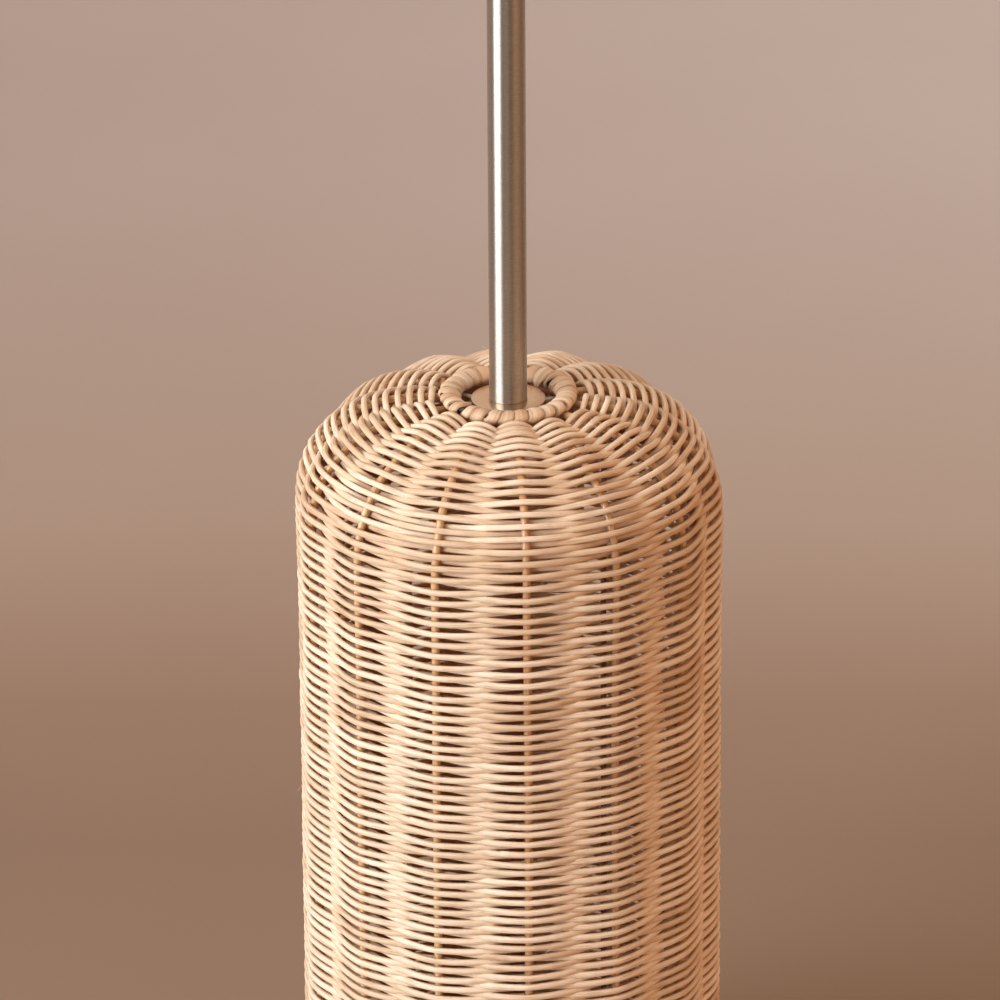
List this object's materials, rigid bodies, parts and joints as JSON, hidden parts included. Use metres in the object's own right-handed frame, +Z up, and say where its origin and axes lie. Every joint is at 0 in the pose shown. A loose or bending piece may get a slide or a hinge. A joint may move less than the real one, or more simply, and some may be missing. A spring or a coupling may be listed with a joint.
{
  "type": "floor lamp",
  "caption": "Floor lamp: a dome-topped woven cane cylinder on a hidden weight, a slim nickel pole through its wrapped rim, a switched lampholder, a bulb and a drum shade.",
  "frame": {"origin": "on the floor, under the middle of the base", "axes": "+Z up the pole; -Y is the side that the picture looks at; the cord leaves at +Y"},
  "size_m": [0.4, 0.4, 1.488],
  "materials": {
    "cane": "peeled round cane, woven, matt, pale straw",
    "cane_strip": "flat split cane strip, matt",
    "stake_cane": "round cane with its glossy skin",
    "nickel": "satin nickel, brushed round",
    "zinc_steel": "zinc-plated steel",
    "zinc_wire": "zinc-plated steel wire",
    "white_wire": "white painted steel",
    "cast_iron": "black stoved iron",
    "rubber": "black rubber",
    "brass": "bare brass",
    "black_plastic": "moulded black plastic",
    "porcelain": "glazed porcelain",
    "linen": "off-white linen on a stiff backing",
    "opal": "opal white"
  },
  "bodies": {
    "stand": {"centre_contact": "brass", "cord_grommet": "rubber", "cup_nipple": "zinc_steel", "foot_hoop": "cane_strip", "foot_pad_1": "rubber", "foot_pad_2": "rubber", "foot_pad_3": "rubber", "foot_pad_4": "rubber", "foot_weight": "cast_iron", "frame_foot_ring": "zinc_wire", "frame_hub": "white_wire", "frame_rib_1": "zinc_wire", "frame_rib_2": "zinc_wire", "frame_rib_3": "zinc_wire", "frame_rib_4": "zinc_wire", "frame_rib_5": "zinc_wire", "holder_cup": "nickel", "holder_insulator": "porcelain", "holder_skirt": "black_plastic", "inner_column": "zinc_steel", "lock_nut": "zinc_steel", "pole_coupler": "zinc_steel", "pole_foot_bush": "zinc_steel", "pole_lower": "nickel", "pole_top_bush": "zinc_steel", "pole_upper": "nickel", "rim_hoop": "cane", "rim_wrap": "cane_strip", "screw_shell": "brass", "seat_disc": "nickel", "stake_1": "stake_cane", "stake_10": "stake_cane", "stake_11": "stake_cane", "stake_12": "stake_cane", "stake_13": "stake_cane", "stake_14": "stake_cane", "stake_2": "stake_cane", "stake_3": "stake_cane", "stake_4": "stake_cane", "stake_5": "stake_cane", "stake_6": "stake_cane", "stake_7": "stake_cane", "stake_8": "stake_cane", "stake_9": "stake_cane", "switch_body": "black_plastic", "tie_nut": "zinc_steel", "tie_rod": "zinc_steel", "tie_washer": "zinc_steel", "weaver_one": "cane", "weaver_two": "cane"},
    "switch": {"switch_bar": "brass"},
    "clamp_ring": {"shade_ring": "black_plastic"},
    "shade": {"shade_skin": "linen", "shade_bottom_wire": "white_wire", "shade_top_wire": "white_wire", "shade_spider": "white_wire"},
    "bulb": {"bulb_cap": "brass", "bulb_collar": "opal", "bulb_globe": "opal"}
  },
  "joints": [
    {"name": "switch_push", "type": "slide", "parent": "stand", "child": "switch", "axis": [-1, 0, 0], "range_m": [0, 0.005]},
    {"name": "clamp_ring_turn", "type": "hinge", "parent": "stand", "child": "clamp_ring", "pos_m": [0, 0, 1.29], "axis": [0, 0, 1], "continuous": true},
    {"name": "shade_turn", "type": "hinge", "parent": "stand", "child": "shade", "pos_m": [0, 0, 1.285], "axis": [0, 0, 1], "continuous": true},
    {"name": "bulb_turn", "type": "hinge", "parent": "stand", "child": "bulb", "pos_m": [0, 0, 1.31], "axis": [0, 0, 1], "continuous": true}
  ]
}
